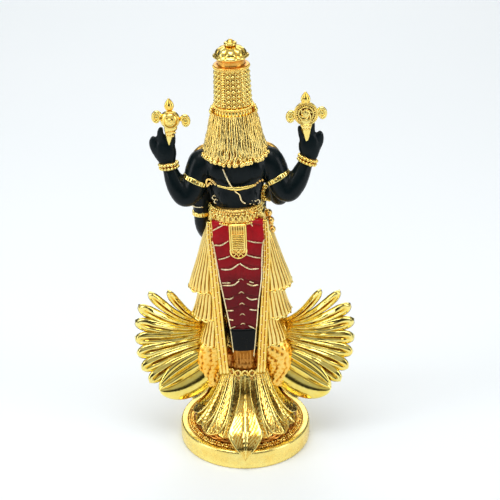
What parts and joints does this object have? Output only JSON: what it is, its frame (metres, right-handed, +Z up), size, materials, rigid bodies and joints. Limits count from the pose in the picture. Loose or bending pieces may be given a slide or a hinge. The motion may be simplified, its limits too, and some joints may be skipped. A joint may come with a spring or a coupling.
{
  "type": "deity statue",
  "caption": "Standing deity with raised emblems and a tall crown, carried by a kneeling winged bird-man with fanned wings and tail, cast in one with its round base.",
  "frame": {"origin": "centre of the round base's flat underside", "axes": "+Z up from the underside to the crown; the deity and the bird-man face -Y; +X to the deity's own left"},
  "size_m": [0.078, 0.0489, 0.1499],
  "materials": {
    "gold_plating": "gloss"
  },
  "bodies": {
    "root": {"statue": "gold_plating"}
  },
  "joints": []
}
